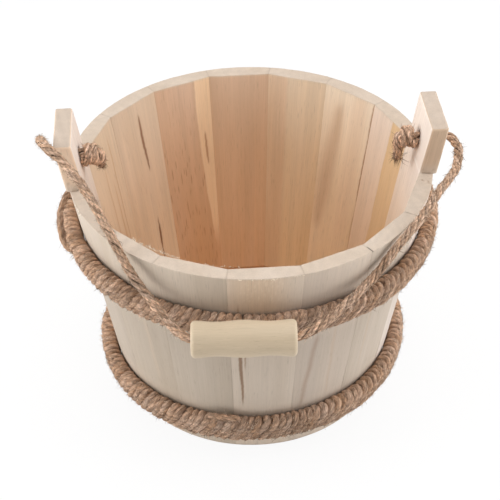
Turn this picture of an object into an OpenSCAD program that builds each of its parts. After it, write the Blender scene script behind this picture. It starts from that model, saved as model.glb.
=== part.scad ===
// Wooden coopered bucket with two jute-wound hoops, a rope bail and a turned grip.
// Millimetres, +Z up, origin at the centre of the ring that the bucket stands on.
// The ears lie on the X axis, and the bail hangs on the -Y side.

/* [Bucket] */
// Outside diameter of the rim
rim_d = 250; // [230:1:270]
// Outside diameter of the base
base_d = 192; // [176:1:208]
// Height of the rim above the floor
bucket_h = 180; // [165:1:200]
// Thickness of a stave at its middle
stave_t = 11.5; // [9:0.5:13]
// Seam between neighbouring staves
stave_gap = 0.15; // [0.1:0.05:0.3]

/* [Ears] */
// Height of the ears above the rim
ear_rise = 36; // [30:1:46]
// Width of an ear
ear_w = 48; // [40:1:48]
// Corner radius at the top of an ear
ear_corner_r = 1; // [0.5:0.5:6]
// How far the flat outer face of an ear stands out from the round wall
ear_proud = 0.4; // [0.2:0.1:1]
// Height of the rope hole above the rim
hole_rise = 15; // [13:0.5:18]
// Diameter of the rope hole
hole_d = 7.5; // [7:0.5:9]

/* [Bottom] */
// Thickness of the bottom boards
bottom_t = 9; // [7:0.5:12]
// Height of the bottom's underside above the floor
bottom_recess = 4; // [3:0.5:8]
// Depth of the groove that holds the bottom
groove_depth = 4; // [3:0.5:5]
// Play between the bottom and its groove
bottom_clear = 0.25; // [0.15:0.05:0.4]
// Seam between neighbouring bottom boards
board_gap = 0.2; // [0.1:0.05:0.4]

/* [Hoops] */
// Height of the upper hoop's middle on the wall
upper_hoop_z = 142; // [130:1:146]
// Height of the lower hoop's middle on the wall
lower_hoop_z = 30.5; // [24:0.5:60]
// Height of the upper hoop's core
upper_core_h = 10.7; // [8:0.1:12]
// Height of the lower hoop's core
lower_core_h = 12.7; // [8:0.1:16]
// Thickness of the cores
core_t = 4.7; // [3.5:0.1:4.8]
// Diameter of the twine wound round the cores
twine_d = 3.2; // [2.4:0.1:3.3]
// Play between twine, core and wall
hoop_clear = 0.3; // [0.2:0.05:0.35]
// Turns of twine drawn round each hoop
hoop_turns = 46; // [24:1:46]
// Part of the hoop that the two ends of the twine leave open, in degrees
splice_angle = 6; // [5:1:12]
// Direction of the twine's ends, seen from above
splice_at = 255; // [0:5:355]

/* [Bail] */
// Diameter of the rope
rope_d = 6.2; // [5.8:0.1:6.6]
// Outside diameter of a stopper knot
knot_d = 15; // [13:0.5:16]
// Play between a knot and its ear
knot_clear = 0.3; // [0.2:0.1:1]
// Diameter of the loose end below a knot
tail_d = 5; // [4:0.5:6]
// Length of the loose end below the right knot
right_tail = 21; // [12:1:24]
// Length of the loose end below the left knot
left_tail = 10; // [8:1:16]

/* [Grip] */
// Length of the grip
grip_len = 66; // [60:1:70]
// Mean diameter of the grip
grip_d = 22.5; // [20:0.5:23]
// Height of the swells along the grip
grip_wave = 0.5; // [0:0.1:0.6]
// Rounding of the grip's ends
grip_round = 3; // [1.5:0.5:3.5]
// Play between the rope and the grip's bore
grip_clear = 0.4; // [0.3:0.1:0.8]
// Diameter of the flared mouths of the bore
mouth_d = 14; // [12:0.5:14.5]
// Depth of the flared mouths
mouth_depth = 6; // [5:0.5:8]
// Sideways place of the grip's middle
grip_x = -15.2; // [-16.5:0.1:-14]
// Turn of the grip as it lies along the hoop, seen from above, in degrees
grip_turn = -3.2; // [-4:0.1:-2]
// Gap between the grip and the upper hoop
grip_gap = 0.4; // [0.3:0.1:2]
// Height of the grip's axis over the middle of the upper hoop, measured along the wall
grip_rise = 10.7; // [8:0.1:12]

/* [Hidden] */
$fn = 96;
STAVES = [
    "stave_01", "stave_02", "stave_03", "stave_04", "stave_05", "stave_06", "stave_07",
    "stave_08", "stave_09", "stave_10", "stave_11", "stave_12", "stave_13", "stave_14"
];
BOARDS = ["bottom_board_left", "bottom_board_middle", "bottom_board_right"];

// Wall
stave_count = len(STAVES) + 2;
stave_angle = 360 / stave_count;
flare = (rim_d - base_d) / 2 / bucket_h;
lean = atan(flare);
ear_top = bucket_h + ear_rise;
ear_root = bucket_h - stave_t;
hole_z = bucket_h + hole_rise;
function outer_r(z) = base_d / 2 + flare * z;
function inner_x(z) = outer_r(z) - stave_t;

// Bottom
groove_r = inner_x(bottom_recess + bottom_t / 2) + groove_depth;
bottom_r = groove_r - bottom_clear;
board_w = 2 * bottom_r / len(BOARDS);

// Hoops: the twine runs round the core on straight sides and half-round ends
twine_r = twine_d / 2;
core_out = hoop_clear + twine_d + hoop_clear + core_t / 2;
turn_r = core_t / 2 + hoop_clear + twine_r;
end_step = 60;
end_seat = 2 * (1 - cos(end_step / 2)) * turn_r;
curl_rings = 8;
twine_sides = 6;

// Bail
rope_r = rope_d / 2;
rope_sides = 10;
run_past_ear = 2.5;
run_out = outer_r(hole_z) + run_past_ear;
knot_wrap_r = knot_d / 4 - 0.5;
knot_wrap_major = knot_d / 2 - knot_wrap_r;
knot_face = inner_x(hole_z) - flare * knot_d / 2 - knot_clear;
knot_pitch = 1.7 * knot_wrap_r;
knot_in = knot_face - 2 * knot_wrap_r - knot_pitch;
tail_lean = 12;

// Grip: it hangs in front of the upper hoop
grip_run = grip_len - 2 * mouth_depth;
grip_bore_d = rope_d + 2 * grip_clear;
grip_out = core_out + turn_r + twine_r + grip_gap + grip_d / 2 + grip_wave;
grip_spot = hoop_point(upper_hoop_z, grip_out, grip_rise, -90);
grip_y = (grip_x * sin(grip_turn) + grip_spot[1]) / cos(grip_turn);
grip_middle = [grip_x, grip_y, grip_spot[2]];
grip_way = [cos(grip_turn), sin(grip_turn), 0];

// Points that the rope passes on its way from each ear to the grip
right_points = [
    [135.5, -1.5, 195],
    [139, -6.5, 194.5],
    [140.5, -15, 193.5],
    [138.5, -25.5, 192.5],
    [134.5, -36, 191],
    [127.5, -46, 189.5],
    [120, -55.5, 188],
    [113, -66, 186.5],
    [105.5, -76.5, 184.5],
    [97, -86.5, 182],
    [88.5, -94, 177],
    [81, -99.5, 170],
    [73.5, -104.5, 163],
    [65.5, -110.5, 158.5],
    [57.5, -117, 155.5],
    [48.5, -124.5, 153],
    [39.5, -132, 150.5],
    [30, -139, 149],
    [20.5, -144, 148.5]
];
left_points = [
    [-136, 0.5, 196.5],
    [-140, 1, 203],
    [-140.5, -5, 210],
    [-139, -14, 215.5],
    [-136, -23.5, 218.5],
    [-131.5, -32, 219],
    [-125, -40, 217],
    [-117.5, -49.5, 213],
    [-110, -60, 207.5],
    [-103.5, -70.5, 200.5],
    [-97.5, -81, 193],
    [-92, -90, 185.5],
    [-87, -98, 177.5],
    [-82, -103, 169],
    [-76.5, -107, 161.5],
    [-71.5, -112, 156.5],
    [-66.5, -118.5, 153],
    [-61.5, -126.5, 150.5],
    [-56, -134.5, 149],
    [-49.5, -140.5, 148.5]
];
right_route = concat([[run_out, 0, hole_z]], right_points, [grip_middle + grip_run / 2 * grip_way]);
left_route = concat([[-run_out, 0, hole_z]], left_points, [grip_middle - grip_run / 2 * grip_way]);

function unit(v) = v / norm(v);
function away(dir, way) = unit(dir - (dir * way) * way);
function heading(path, i) =
    unit(path[min(i + 1, len(path) - 1)] - path[max(i - 1, 0)]);
function length_of(path, i = 1) =
    i < len(path) ? norm(path[i] - path[i - 1]) + length_of(path, i + 1) : 0;

// Tube along a path: a ring at each point, square to the heading there
module tube(path, headings, sideways, radius, sides) {
    rings = len(path);
    points = [
        for (i = [0 : rings - 1])
            let (across = away(sideways[i], headings[i]), over = cross(headings[i], across))
                for (j = [0 : sides - 1])
                    path[i] + radius * (cos(360 * j / sides) * across + sin(360 * j / sides) * over)
    ];
    walls = [
        for (i = [0 : rings - 2])
            for (j = [0 : sides - 1])
                let (a = i * sides + j, b = i * sides + (j + 1) % sides)
                    each [[a, b + sides, b], [a, a + sides, b + sides]]
    ];
    last = (rings - 1) * sides;
    ends = [
        for (j = [1 : sides - 2])
            each [[0, j, j + 1], [last, last + j + 1, last + j]]
    ];
    polyhedron(points = points, faces = concat(walls, ends), convexity = 10);
}

// Solid between the flat inner face and the outside of the wall, on the +X side
module wall_slab(top) {
    rotate([90, 0, 0])
        linear_extrude(height = rim_d, center = true)
            polygon([
                [inner_x(0), 0],
                [outer_r(top) + stave_t, 0],
                [outer_r(top) + stave_t, top],
                [inner_x(top), top]
            ]);
}

// Wedge between the two seams of a stave on the +X side
module seam_wedge(top) {
    tip = stave_gap / 2 / sin(stave_angle / 2);
    reach = rim_d;
    linear_extrude(height = top)
        polygon([
            [tip, 0],
            [tip + reach * cos(stave_angle / 2), -reach * sin(stave_angle / 2)],
            [tip + reach * cos(stave_angle / 2), reach * sin(stave_angle / 2)]
        ]);
}

module groove_cut() {
    translate([0, 0, bottom_recess - bottom_clear])
        cylinder(h = bottom_t + 2 * bottom_clear, r = groove_r);
}

module stave(turn) {
    color("BurlyWood")
        rotate([0, 0, turn])
            difference() {
                intersection() {
                    cylinder(h = bucket_h, r1 = outer_r(0), r2 = outer_r(bucket_h));
                    seam_wedge(bucket_h);
                    wall_slab(bucket_h);
                }
                groove_cut();
            }
}

// Outline of an ear seen along X, with rounded top corners
module ear_outline() {
    inset = ear_w / 2 - ear_corner_r;
    translate([-ear_w / 2, ear_root])
        square([ear_w, ear_top - ear_corner_r - ear_root]);
    translate([-inset, ear_top - ear_corner_r])
        square([2 * inset, ear_corner_r]);
    for (side = [-1, 1])
        translate([side * inset, ear_top - ear_corner_r])
            circle(r = ear_corner_r);
}

// Ear above the rim, with a flat outer face just outside the round wall and a root inside the wall
module ear_board() {
    intersection() {
        rotate([90, 0, 0])
            linear_extrude(height = ear_w, center = true)
                polygon([
                    [0, ear_root],
                    [inner_x(bucket_h), ear_root],
                    [inner_x(bucket_h) + stave_t / 2, bucket_h],
                    [outer_r(bucket_h) + ear_proud, bucket_h],
                    [outer_r(ear_top) + ear_proud, ear_top],
                    [0, ear_top]
                ]);
        rotate([90, 0, 90])
            linear_extrude(height = rim_d)
                ear_outline();
    }
}

module ear_stave(turn) {
    color("Wheat")
        rotate([0, 0, turn])
            difference() {
                intersection() {
                    union() {
                        cylinder(h = bucket_h, r1 = outer_r(0), r2 = outer_r(bucket_h));
                        ear_board();
                    }
                    wall_slab(ear_top);
                    seam_wedge(ear_top);
                }
                groove_cut();
                translate([0, 0, hole_z])
                    rotate([0, 90, 0])
                        cylinder(h = rim_d, d = hole_d);
            }
}

module bottom_board(index) {
    color("Tan")
        intersection() {
            translate([0, 0, bottom_recess])
                cylinder(h = bottom_t, r = bottom_r);
            translate([-bottom_r + index * board_w + board_gap / 2, -bottom_r, bottom_recess])
                cube([board_w - board_gap, 2 * bottom_r, bottom_t]);
        }
}

// Point of a hoop's section: out is square to the wall, up runs along it
function hoop_point(hoop_z, out, up, turn) =
    let (r = outer_r(hoop_z) + out * cos(lean) + up * sin(lean))
        [r * cos(turn), r * sin(turn), hoop_z - out * sin(lean) + up * cos(lean)];

module hoop_core(hoop_z, core_h) {
    straight = core_h - core_t;
    color("Peru")
        rotate_extrude()
            translate([outer_r(hoop_z), hoop_z])
                rotate(-lean)
                    translate([core_out, 0]) {
                        square([core_t, straight], center = true);
                        for (end = [-1, 1])
                            translate([0, end * straight / 2])
                                circle(d = core_t);
                    }
}

// Places along the twine: eight to a turn, four round each end of the core's section
function wrap_turn(i) =
    splice_at + splice_angle / 2 + i * (360 - splice_angle) / (hoop_turns * curl_rings + 1);
function wrap_point(hoop_z, core_h, i) =
    let (
        m = (i + curl_rings - 1) % curl_rings,
        end = m < curl_rings / 2 ? 1 : -1,
        angle = end_step * (m < curl_rings / 2 ? m : m - 1)
    )
        hoop_point(
            hoop_z,
            core_out + turn_r * cos(angle),
            end * ((core_h - core_t) / 2 + end_seat) + turn_r * sin(angle),
            wrap_turn(i)
        );
function wrap_path(hoop_z, core_h) =
    [for (i = [0 : hoop_turns * curl_rings + 1]) wrap_point(hoop_z, core_h, i)];
function least_gap(path) =
    min([
        for (i = [0 : len(path) - 4])
            for (j = [i + 3 : len(path) - 1]) norm(path[i] - path[j])
    ]) - twine_d;

module hoop_wrap(hoop_z, core_h) {
    path = wrap_path(hoop_z, core_h);
    echo("least gap of the twine to itself", least_gap(path));
    color("Sienna")
        tube(
            path,
            [for (i = [0 : len(path) - 1]) heading(path, i)],
            [for (i = [0 : len(path) - 1]) [-sin(wrap_turn(i)), cos(wrap_turn(i)), 0]],
            twine_r,
            twine_sides
        );
}

// Rope through an ear with two wraps of a stopper knot on its inner end, on the +X side
module knot(tail) {
    color("RosyBrown") {
        translate([knot_in, 0, hole_z])
            rotate([0, 90, 0])
                cylinder(h = run_out - knot_in, d = rope_d);
        for (wrap = [0, 1])
            translate([knot_in + knot_wrap_r + wrap * knot_pitch, 0, hole_z])
                rotate([0, 90, 0])
                    rotate_extrude()
                        translate([knot_wrap_major, 0])
                            circle(r = knot_wrap_r);
        translate([knot_in + knot_wrap_r, 0, hole_z])
            rotate([0, 180 + tail_lean, 0])
                cylinder(h = tail, d = tail_d);
    }
}

module right_knot() {
    knot(right_tail);
}

module left_knot() {
    mirror([1, 0, 0])
        knot(left_tail);
}

module rope_stretch(route, first, last) {
    color("RosyBrown")
        tube(
            route,
            concat([first], [for (i = [1 : len(route) - 2]) heading(route, i)], [last]),
            [for (i = [0 : len(route) - 1]) [0, 0, 1]],
            rope_r,
            rope_sides
        );
}

module rope_right() {
    rope_stretch(right_route, [1, 0, 0], -grip_way);
}

module rope_left() {
    rope_stretch(left_route, [-1, 0, 0], grip_way);
}

module rope_grip_run() {
    color("RosyBrown")
        translate(grip_middle)
            rotate([0, 90, grip_turn])
                cylinder(h = grip_run, d = rope_d, center = true);
}

// Radius of the grip at a distance along it, with two waists and rounded ends
function grip_r(along) =
    let (
        swell = grip_d / 2 + grip_wave * cos(720 * along / grip_len),
        past = max(0, grip_round - (grip_len / 2 - abs(along)))
    )
        swell - grip_round + sqrt(max(0, grip_round * grip_round - past * past));

module grip() {
    straight = grip_len / 2 - grip_round;
    stations = concat(
        [for (a = [90 : -15 : 15]) -straight - grip_round * sin(a)],
        [for (i = [-12 : 12]) i * straight / 12],
        [for (a = [15 : 15 : 90]) straight + grip_round * sin(a)]
    );
    outline = [for (along = stations) [grip_r(along), along]];
    color("Cornsilk")
        translate(grip_middle)
            rotate([0, 90, grip_turn])
                difference() {
                    rotate_extrude()
                        polygon(concat([[0, -grip_len / 2]], outline, [[0, grip_len / 2]]));
                    cylinder(h = grip_len + 2, d = grip_bore_d, center = true);
                    for (end = [0, 1])
                        mirror([0, 0, end])
                            translate([0, 0, grip_len / 2 - mouth_depth])
                                cylinder(h = mouth_depth, d1 = grip_bore_d, d2 = mouth_d);
                }
}

knot_to_knot = length_of(right_route) + length_of(left_route) + grip_run + 2 * (run_out - knot_in);
echo("rope from knot to knot", knot_to_knot);

for (i = [0 : len(STAVES) - 1])
    stave((i < len(STAVES) / 2 ? i + 1 : i + 2) * stave_angle);
for (i = [0 : len(BOARDS) - 1])
    bottom_board(i);
ear_stave(0);  // ear_stave_right
ear_stave(180);  // ear_stave_left
hoop_core(upper_hoop_z, upper_core_h);  // upper_hoop_core
hoop_wrap(upper_hoop_z, upper_core_h);  // upper_hoop_wrap
hoop_core(lower_hoop_z, lower_core_h);  // lower_hoop_core
hoop_wrap(lower_hoop_z, lower_core_h);  // lower_hoop_wrap
right_knot();
left_knot();
rope_right();
rope_left();
rope_grip_run();
grip();
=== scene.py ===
import math
from collections import namedtuple

import bpy
import numpy as np
from mathutils import Matrix, Vector


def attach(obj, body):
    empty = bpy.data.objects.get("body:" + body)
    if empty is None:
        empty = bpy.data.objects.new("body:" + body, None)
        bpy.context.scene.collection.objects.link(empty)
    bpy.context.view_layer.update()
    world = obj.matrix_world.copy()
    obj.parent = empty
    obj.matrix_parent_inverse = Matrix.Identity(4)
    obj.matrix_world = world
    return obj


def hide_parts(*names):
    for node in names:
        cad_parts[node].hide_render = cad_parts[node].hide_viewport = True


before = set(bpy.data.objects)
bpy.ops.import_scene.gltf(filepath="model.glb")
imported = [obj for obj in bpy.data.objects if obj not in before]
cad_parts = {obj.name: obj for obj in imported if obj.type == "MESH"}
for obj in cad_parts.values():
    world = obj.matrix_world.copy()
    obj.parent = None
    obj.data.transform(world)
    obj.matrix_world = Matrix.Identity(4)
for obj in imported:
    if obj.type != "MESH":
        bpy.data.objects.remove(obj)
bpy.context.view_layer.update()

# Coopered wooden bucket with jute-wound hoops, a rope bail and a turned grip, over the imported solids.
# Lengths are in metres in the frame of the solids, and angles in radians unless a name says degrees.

SCENE = bpy.context.scene
FULL_TURN = 2 * math.pi

# Sizes of the solids
RIM_Z = 0.180
RIM_R = 0.125
BASE_R = 0.096
STAVE_T = 0.0115
STAVE_COUNT = 16
SEAM = 0.00003
FLARE = (RIM_R - BASE_R) / RIM_Z
LEAN = math.atan(FLARE)
HALF_STAVE = math.pi / STAVE_COUNT
EAR_TOP = 0.216
EAR_W = 0.048
EAR_PROUD = 0.0004
HOLE_Z = 0.195
HOLE_R = 0.00375
BOARD_LOW = 0.004
BOARD_HIGH = 0.013
BOARD_GAP = 0.0002
GROOVE_R = 0.08987
GROOVE_PLAY = 0.00025
BOARD_R = GROOVE_R - GROOVE_PLAY
RUN_OUT = 0.12992
KNOT_FACE = 0.11441
KNOT_IN = 0.10238
GRIP_LEN = 0.066
GRIP_R = 0.01125
GRIP_WAVE = 0.0005
GRIP_ROUND = 0.003
GRIP_BORE_R = 0.0035
GRIP_MOUTH_R = 0.007
GRIP_MOUTH_DEPTH = 0.006
GRIP_RUN = GRIP_LEN - 2 * GRIP_MOUTH_DEPTH
GRIP_PLACE = np.array([-0.0152, -0.1438, 0.14872])
GRIP_TURN = math.radians(-3.2)
GRIP_WAY = np.array([math.cos(GRIP_TURN), math.sin(GRIP_TURN), 0.0])

# Points that the rope passes on its way from each ear to the grip
RIGHT_POINTS = [
    (0.1355, -0.0015, 0.195), (0.139, -0.0065, 0.1945), (0.1405, -0.015, 0.1935),
    (0.1385, -0.0255, 0.1925), (0.1345, -0.036, 0.191), (0.1275, -0.046, 0.1895),
    (0.12, -0.0555, 0.188), (0.113, -0.066, 0.1865), (0.1055, -0.0765, 0.1845),
    (0.097, -0.0865, 0.182), (0.0885, -0.094, 0.177), (0.081, -0.0995, 0.17),
    (0.0735, -0.1045, 0.163), (0.0655, -0.1105, 0.1585), (0.0575, -0.117, 0.1555),
    (0.0485, -0.1245, 0.153), (0.0395, -0.132, 0.1505), (0.03, -0.139, 0.149),
    (0.0205, -0.144, 0.1485),
]
LEFT_POINTS = [
    (-0.136, 0.0005, 0.1965), (-0.14, 0.001, 0.203), (-0.1405, -0.005, 0.21),
    (-0.139, -0.014, 0.2155), (-0.136, -0.0235, 0.2185), (-0.1315, -0.032, 0.219),
    (-0.125, -0.04, 0.217), (-0.1175, -0.0495, 0.213), (-0.11, -0.06, 0.2075),
    (-0.1035, -0.0705, 0.2005), (-0.0975, -0.081, 0.193), (-0.092, -0.09, 0.1855),
    (-0.087, -0.098, 0.1775), (-0.082, -0.103, 0.169), (-0.0765, -0.107, 0.1615),
    (-0.0715, -0.112, 0.1565), (-0.0665, -0.1185, 0.153), (-0.0615, -0.1265, 0.1505),
    (-0.056, -0.1345, 0.149), (-0.0495, -0.1405, 0.1485),
]


def outer_r(z):
    return BASE_R + FLARE * z


def inner_x(z):
    return outer_r(z) - STAVE_T


# Numbers and colours
def smooth_step(value, low, high):
    share = np.clip((value - low) / (high - low), 0, 1)
    return share * share * (3 - 2 * share)


def smooth_fall(value, low, high):
    return smooth_step(-value, -high, -low)


def waver(coords, size, seed, waves=10):
    """Smooth noise between about -1 and 1, with bumps of about that size."""
    draw = np.random.default_rng(seed)
    ways = draw.normal(size=(coords.shape[1], waves))
    ways *= FULL_TURN / size * draw.uniform(0.3, 0.9, waves) / np.linalg.norm(ways, axis=0)
    return np.sin(coords @ ways + draw.uniform(0, FULL_TURN, waves)).sum(1) / math.sqrt(waves)


def length(vectors):
    return np.linalg.norm(vectors, axis=-1, keepdims=True)


def unit(vectors):
    return vectors / length(vectors)


def round_angles(count):
    return np.linspace(0, FULL_TURN, count, endpoint=False)


def srgb(red, green, blue):
    """A colour from 0 to 255 per channel, in linear light."""
    share = np.array([red, green, blue]) / 255
    return np.where(share <= 0.04045, share / 12.92, ((share + 0.055) / 1.055) ** 2.4)


def mix(tint, colour, share):
    return tint + (colour - tint) * share[:, None]


# Meshes
class Pile:
    """Points and faces with a tint and grain coordinates, gathered into one mesh."""

    def __init__(self, *block):
        self.points, self.tints, self.grains, self.faces = [], [], [], []
        self.count = 0
        if block:
            self.add(*block)

    def add(self, points, faces, tint, grain):
        points = np.asarray(points, float).reshape(-1, 3)
        self.points.append(points)
        self.tints.append(np.broadcast_to(tint, points.shape))
        self.grains.append(np.broadcast_to(grain, points.shape))
        self.faces += [np.asarray(block) + self.count for block in faces]
        self.count += len(points)

    def shade(self, shares):
        """Scales the tints of the first points of the block that was added last."""
        tints = np.array(self.tints[-1])
        tints[: len(shares)] *= shares[:, None]
        self.tints[-1] = tints

    def make(self, name, material):
        mesh = bpy.data.meshes.new(name)
        self.fill(mesh)
        tint = mesh.attributes.new("tint", "FLOAT_COLOR", "POINT")
        tints = np.vstack(self.tints)
        tint.data.foreach_set("color", np.column_stack([tints, np.ones(len(tints))]).ravel())
        grain = mesh.attributes.new("grain", "FLOAT_VECTOR", "POINT")
        grain.data.foreach_set("vector", np.vstack(self.grains).ravel())
        mesh.materials.append(material)
        return show(name, mesh)

    def fill(self, mesh):
        corners = np.concatenate([block.ravel() for block in self.faces]).astype(np.int32)
        sizes = np.concatenate([np.full(len(block), block.shape[1]) for block in self.faces])
        starts = np.concatenate([[0], np.cumsum(sizes)[:-1]]).astype(np.int32)
        mesh.vertices.add(self.count)
        mesh.vertices.foreach_set("co", np.vstack(self.points).ravel())
        mesh.loops.add(len(corners))
        mesh.loops.foreach_set("vertex_index", corners)
        mesh.polygons.add(len(sizes))
        mesh.polygons.foreach_set("loop_start", starts)
        mesh.polygons.foreach_set("use_smooth", np.ones(len(sizes), bool))
        mesh.update(calc_edges=True)
        mesh.validate()


def show(name, data):
    piece = bpy.data.objects.new(name, data)
    SCENE.collection.objects.link(piece)
    return piece


def quads_between(*corners):
    return np.stack(corners, -1).reshape(-1, 4)


def ring_quads(rows, columns):
    """Quads of a surface that closes on itself both ways."""
    index = np.arange(rows * columns).reshape(rows, columns)
    ahead = np.roll(index, -1, axis=0)
    return quads_between(index, np.roll(index, -1, axis=1), np.roll(ahead, -1, axis=1), ahead)


def box_shell(xs, ys, zs):
    """Points and quads of a box's surface on a lattice."""
    grid = np.stack(np.meshgrid(xs, ys, zs, indexing="ij"), -1)
    shell = np.ones(grid.shape[:3], bool)
    shell[1:-1, 1:-1, 1:-1] = False
    index = np.full(shell.shape, -1)
    index[shell] = np.arange(shell.sum())
    quads = []
    for axis in range(3):
        for end in (0, -1):
            side = np.take(index, end, axis=axis)
            quad = quads_between(side[:-1, :-1], side[1:, :-1], side[1:, 1:], side[:-1, 1:])
            inward = (end == 0) != (axis == 1)
            quads.append(quad[:, ::-1] if inward else quad)
    return grid[shell], np.vstack(quads)


def edged(low, high, edge, step, extra=()):
    """Coordinates from low to high, closer at both ends, where edges are rounded."""
    inside = np.linspace(low + edge, high - edge, max(2, round((high - low) / step)))
    ends = [low, low + 0.3 * edge, high - 0.3 * edge, high]
    return np.unique(np.round(np.concatenate([inside, ends, np.asarray(extra, float)]), 7))


def soften(points, low, high, radius):
    """Rounds the edges and corners of a block of points that fills a box."""
    core = np.clip(points, np.asarray(low) + radius, np.asarray(high) - radius)
    out = points - core
    return core + out * np.abs(out).max(1, keepdims=True) / np.maximum(length(out), 1e-12)


# Lines and tubes
PATH_REACH = 0.006


def length_along(line):
    return np.concatenate([[0], np.cumsum(length(np.diff(line, axis=0)))])


def spaced(line, step):
    along = length_along(line)
    at = np.linspace(0, along[-1], max(2, math.ceil(along[-1] / step) + 1))
    return np.stack([np.interp(at, along, line[:, k]) for k in range(3)], 1)


def smooth_path(points, first_way, last_way, step):
    """A smooth curve through the points, leaving and arriving in the given directions."""
    points = np.asarray(points, float)
    before = points[0] - PATH_REACH * np.array(first_way)
    after = points[-1] + PATH_REACH * np.array(last_way)
    held = np.vstack([before, points, after])
    t = np.linspace(0, 1, 12, endpoint=False)[:, None]
    curve = []
    for a, b, c, d in zip(held[:-3], held[1:-2], held[2:-1], held[3:]):
        square = 2 * a - 5 * b + 4 * c - d
        cube = 3 * b - a - 3 * c + d
        curve.append(0.5 * (2 * b + (c - a) * t + square * t**2 + cube * t**3))
    return spaced(np.vstack(curve + [points[-1:]]), step)


def frames(line):
    """Directions along and across a line, turned as little as possible on the way."""
    ways = unit(np.gradient(line, axis=0))
    start = np.eye(3)[np.abs(ways[0]).argmin()]
    across = np.zeros_like(line)
    for i, way in enumerate(ways):
        side = start - way * (start @ way)
        start = side / np.linalg.norm(side)
        across[i] = start
    return ways, across, np.cross(ways, across)


def tube(line, radii, angles):
    """A closed tube along a line, with a radius for each point of its rings."""
    _, across, over = frames(line)
    sides = len(angles)
    spoke = np.cos(angles)[:, None] * across[:, None] + np.sin(angles)[:, None] * over[:, None]
    rings = line[:, None] + radii[..., None] * spoke
    points = np.vstack([rings.reshape(-1, 3), line[:1], line[-1:]])
    index = np.arange(len(line) * sides).reshape(len(line), sides)
    after = np.roll(index, -1, axis=1)
    walls = quads_between(index[:-1], after[:-1], after[1:], index[1:])
    first, last = len(points) - 2, len(points) - 1
    head = np.stack([after[0], index[0], np.full(sides, first)], -1)
    tail = np.stack([index[-1], after[-1], np.full(sides, last)], -1)
    return points, [walls, head, tail], spoke


# Materials
WHITE = (1.0, 1.0, 1.0, 1.0)


class Graph:
    """Shorthand for the nodes of a material or a world."""

    def __init__(self, owner):
        owner.use_nodes = True
        self.owner = owner
        self.tree = owner.node_tree
        self.tree.nodes.clear()

    def add(self, kind, inputs=None, **settings):
        """Adds a node, fed by other nodes' outputs or constants, and gives its outputs."""
        node = self.tree.nodes.new("ShaderNode" + kind)
        for key, value in settings.items():
            setattr(node, key, value)
        for key, value in (inputs or {}).items():
            if isinstance(value, bpy.types.NodeSocket):
                self.tree.links.new(value, node.inputs[key])
            else:
                node.inputs[key].default_value = value
        return node.outputs

    def noise(self, scale, detail, roughness=0.55, distortion=0.0):
        """Noise with that many bumps per metre along each coordinate of the grain."""
        grain = self.add("Attribute", attribute_name="grain")["Vector"]
        place = self.add("VectorMath", {0: grain, 1: scale}, operation="MULTIPLY")["Vector"]
        inputs = {"Vector": place, "Scale": 1.0, "Detail": detail, "Roughness": roughness}
        return self.add("TexNoise", {**inputs, "Distortion": distortion})["Fac"]

    def span(self, value, to_low, to_high, low=0.3, high=0.7):
        """Maps one range, by default a noise's usual one, onto another."""
        inputs = {"Value": value, "From Min": low, "From Max": high, "To Min": to_low, "To Max": to_high}
        return self.add("MapRange", inputs)["Result"]

    def math(self, operation, a, b):
        return self.add("Math", {0: a, 1: b}, operation=operation)["Value"]

    def product(self, value, *others):
        for other in others:
            value = self.math("MULTIPLY", value, other)
        return value

    def tint(self, value, saturation):
        tint = self.add("Attribute", attribute_name="tint")["Color"]
        return self.add("HueSaturation", {"Color": tint, "Value": value, "Saturation": saturation})["Color"]

    def seen(self):
        """1 for rays from the camera or a reflection, otherwise 0."""
        rays = self.add("LightPath")
        return self.math("MAXIMUM", rays["Is Camera Ray"], rays["Is Glossy Ray"])

    def finish(self, surface):
        self.add("OutputMaterial", {"Surface": surface})
        return self.owner


def wood(name, bump, roughness):
    """Planed pale wood: fibres, growth lines, soft blotches and small pores along the grain."""
    graph = Graph(bpy.data.materials.new(name))
    fibres = graph.noise((1150, 1150, 17), 4.0, 0.7)
    lines = graph.noise((420, 420, 3), 3.0, 0.6, 0.15)
    blotch = graph.noise((42, 42, 7), 2.0)
    pores = graph.noise((1700, 1700, 95), 1.0)
    light = graph.product(
        graph.span(fibres, 0.94, 1.05),
        graph.span(lines, 0.97, 1.01, 0.3, 0.65),
        graph.span(blotch, 0.97, 1.03),
        graph.span(pores, 0.84, 1.0, 0.25, 0.36),
    )
    height = graph.math("ADD", graph.product(fibres, 0.6), graph.product(lines, 0.4))
    inputs = {
        "Base Color": graph.tint(light, graph.span(blotch, 1.06, 0.95)),
        "Roughness": graph.span(fibres, roughness - 0.08, roughness + 0.1, 0.25, 0.75),
        "Normal": graph.add("Bump", {"Height": height, "Strength": bump, "Distance": 0.0004})["Normal"],
        "Specular IOR Level": 0.28,
    }
    return graph.finish(graph.add("BsdfPrincipled", inputs)["BSDF"])


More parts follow.
